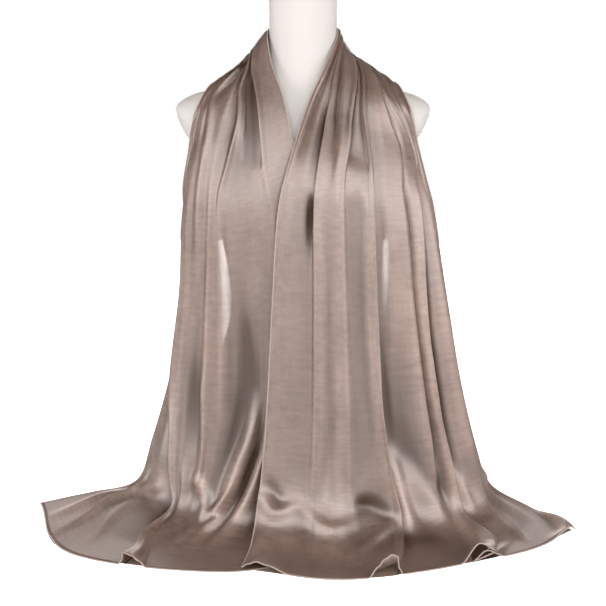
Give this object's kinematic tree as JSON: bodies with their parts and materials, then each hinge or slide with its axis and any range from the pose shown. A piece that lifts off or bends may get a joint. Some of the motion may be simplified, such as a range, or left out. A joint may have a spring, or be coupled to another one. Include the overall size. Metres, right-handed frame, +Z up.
{
  "type": "headscarf on a limbless dress form",
  "caption": "Plain satin headscarf hung round the neck of a limbless dress form, one half lapped over the other in front, hems spread on the table.",
  "frame": {"origin": "middle of the dress form's flat base, on the table", "axes": "+Z up along the neck, -Y is the front, +X is the side of the half that laps over"},
  "size_m": [0.764, 0.4082, 0.745],
  "materials": {
    "satin": "plain taupe polyester satin, soft sheen",
    "form_plastic": "ivory moulding, smooth semi-gloss"
  },
  "bodies": {
    "root": {"dress_form": "form_plastic", "scarf_left_front": "satin", "scarf_nape": "satin", "scarf_right_front": "satin"}
  },
  "joints": []
}
